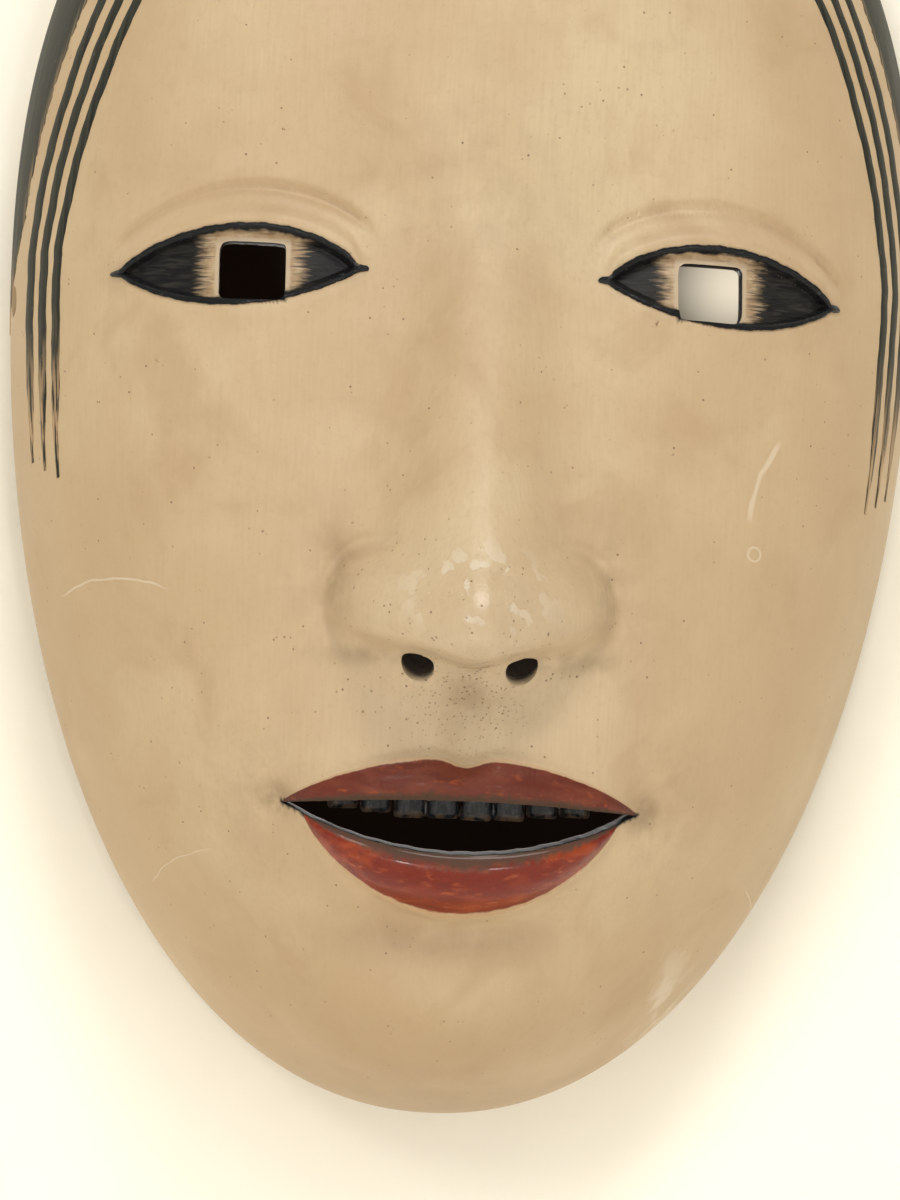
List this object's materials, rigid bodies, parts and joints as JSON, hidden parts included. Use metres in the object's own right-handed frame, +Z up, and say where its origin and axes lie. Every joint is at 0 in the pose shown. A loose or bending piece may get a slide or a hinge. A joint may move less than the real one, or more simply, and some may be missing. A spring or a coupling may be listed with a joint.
{
  "type": "noh mask",
  "caption": "Carved and painted noh mask of the young-woman kind: cypress shell, gofun coat, painted eyes, lips and hair, blackened teeth, cloth wearing pads.",
  "frame": {"origin": "midway between the two cord holes, in the plane of the rear rim", "axes": "+Z up as worn, the face looks along -Y, the wearer's head is on +Y"},
  "size_m": [0.1376, 0.0723, 0.2129],
  "materials": {
    "cypress": "bare carved hinoki",
    "gofun": "burnished shell white with a warm flesh top coat",
    "lacquer": "dark brown urushi over tool marks",
    "ink": "brushed sumi ink",
    "vermilion": "polished vermilion",
    "teeth": "glossy blue-black",
    "pad_cloth": "plain woven cotton"
  },
  "bodies": {
    "root": {"cypress_shell": "cypress", "gofun_coat": "gofun", "back_lacquer": "lacquer", "eye_ink_left": "ink", "eye_ink_right": "ink", "brow_left": "ink", "brow_right": "ink", "lip_upper": "vermilion", "lip_lower": "vermilion", "hair_crown": "ink", "teeth_upper": "teeth", "forehead_pad": "pad_cloth", "cheek_pad_left": "pad_cloth", "cheek_pad_right": "pad_cloth", "hair_strand_left_1": "ink", "hair_strand_left_2": "ink", "hair_strand_left_3": "ink", "hair_strand_right_1": "ink", "hair_strand_right_2": "ink", "hair_strand_right_3": "ink"}
  },
  "joints": []
}
